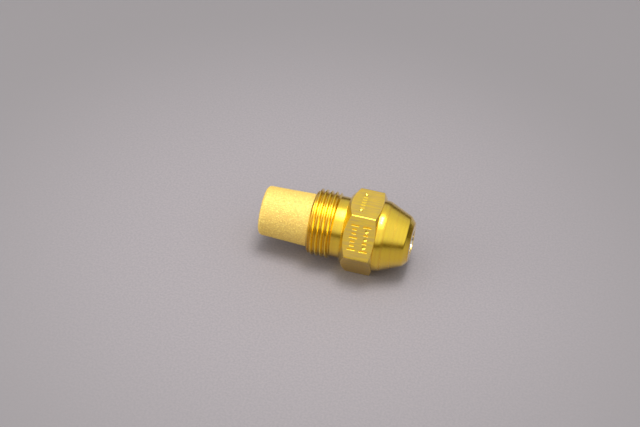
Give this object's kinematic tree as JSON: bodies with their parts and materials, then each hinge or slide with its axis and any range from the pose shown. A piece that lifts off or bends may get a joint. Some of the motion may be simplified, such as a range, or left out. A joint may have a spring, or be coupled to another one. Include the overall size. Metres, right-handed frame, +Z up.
{
  "type": "oil burner nozzle",
  "caption": "Hexagonal brass pressure-jet oil nozzle with a threaded rear, cone nose and sintered cup filter",
  "frame": {"origin": "on the nozzle axis in the plane of the body's rear seat face, where the nozzle seats in its adapter", "axes": "+X along the axis the way the spray leaves; +Z up, square to one hexagon flat, with the opposite flat facing down"},
  "size_m": [0.0324, 0.0182, 0.0158],
  "materials": {
    "brass_body": "bright turned brass with fine turning lines",
    "stainless_disc": "turned and lapped stainless",
    "stainless_cone": "ground stainless",
    "brass_screw": "turned brass",
    "brass_bush": "turned brass",
    "sintered_bronze": "sintered bronze grains, matt"
  },
  "bodies": {
    "root": {"nozzle_body": "brass_body", "orifice_disc": "stainless_disc"},
    "swirl_cone": {"swirl_cone": "stainless_cone"},
    "locking_screw": {"locking_screw": "brass_screw"},
    "filter": {"filter_bush": "brass_bush", "filter_cup": "sintered_bronze"}
  },
  "joints": [
    {"name": "cone_travel", "type": "slide", "parent": "root", "child": "swirl_cone", "axis": [-1, 0, 0], "range_m": [0, 0.00501]},
    {"name": "screw_turn", "type": "hinge", "parent": "swirl_cone", "child": "locking_screw", "pos_m": [0.01, 0, 0], "axis": [-1, 0, 0], "range_deg": [0, 1800]},
    {"name": "filter_pull", "type": "slide", "parent": "locking_screw", "child": "filter", "axis": [-1, 0, 0], "range_m": [0, 0.009]}
  ],
  "couplings": [
    {"joint": "cone_travel", "follows": "screw_turn", "m_per_rad": 0.00015915}
  ]
}
